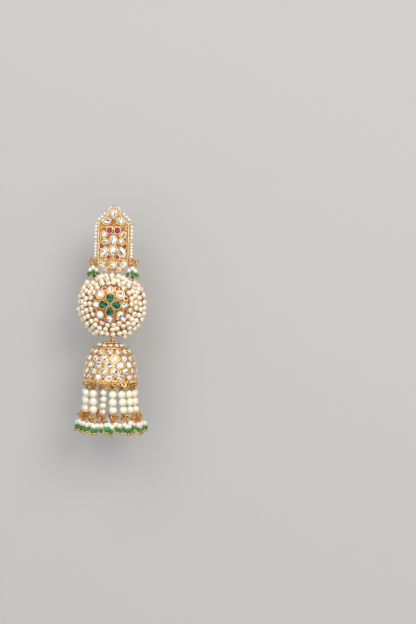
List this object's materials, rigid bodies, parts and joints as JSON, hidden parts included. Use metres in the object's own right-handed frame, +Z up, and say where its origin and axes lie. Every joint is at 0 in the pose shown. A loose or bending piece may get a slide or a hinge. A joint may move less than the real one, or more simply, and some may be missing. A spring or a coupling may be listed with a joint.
{
  "type": "drop earring",
  "caption": "Long drop earring: a stone-set house-shaped plate, a round pearl medallion with a flower, and a hollow bell with a fringe of pearl strands.",
  "frame": {"origin": "on the back of the top plate, where the axis of the ear post meets it", "axes": "+Z up, -Y to the front of the earring, +X to the right as seen from the front"},
  "size_m": [0.0326, 0.0284, 0.1006],
  "materials": {
    "gold": "polished warm gold plate",
    "cluster_pearl": "white pearls on a gold core",
    "strand_pearl": "ivory pearls with a soft lustre",
    "seed_pearl": "small white pearls with a soft lustre",
    "clear_stone": "clear stones in gold settings",
    "green_stone": "faceted deep green stone",
    "red_stone": "faceted pinkish red stone"
  },
  "bodies": {
    "top": {"ear_post": "gold", "top_plate": "gold", "edging_string_1": "seed_pearl", "edging_string_2": "seed_pearl", "edging_string_3": "seed_pearl", "edging_string_4": "seed_pearl", "edging_string_5": "seed_pearl", "edging_string_6": "seed_pearl", "edging_string_7": "seed_pearl", "edging_string_8": "seed_pearl", "side_drop_left": "gold", "side_drop_right": "gold"},
    "medallion": {"jump_ring_left": "gold", "jump_ring_right": "gold", "pearl_cluster": "cluster_pearl", "flower_setting": "clear_stone"},
    "ring": {"connector_ring": "gold"},
    "bell": {"bell_dome": "gold", "pearl_strand_01": "strand_pearl", "pearl_strand_02": "strand_pearl", "pearl_strand_03": "strand_pearl", "pearl_strand_04": "strand_pearl", "pearl_strand_05": "strand_pearl", "pearl_strand_06": "strand_pearl", "pearl_strand_07": "strand_pearl", "pearl_strand_08": "strand_pearl", "pearl_strand_09": "strand_pearl", "pearl_strand_10": "strand_pearl", "pearl_strand_11": "strand_pearl", "pearl_strand_12": "strand_pearl", "pearl_strand_13": "strand_pearl", "pearl_strand_14": "strand_pearl"}
  },
  "joints": [
    {"name": "medallion_swing", "type": "hinge", "parent": "top", "child": "medallion", "pos_m": [0, -0.00145, -0.0167], "axis": [1, 0, 0], "range_deg": [-20, 20]},
    {"name": "ring_swing", "type": "hinge", "parent": "medallion", "child": "ring", "pos_m": [0, -0.00145, -0.0439], "axis": [1, 0, 0], "range_deg": [-20, 20]},
    {"name": "bell_swing", "type": "hinge", "parent": "ring", "child": "bell", "pos_m": [0, -0.00145, -0.0454], "axis": [0, 1, 0], "range_deg": [-15, 15]}
  ]
}
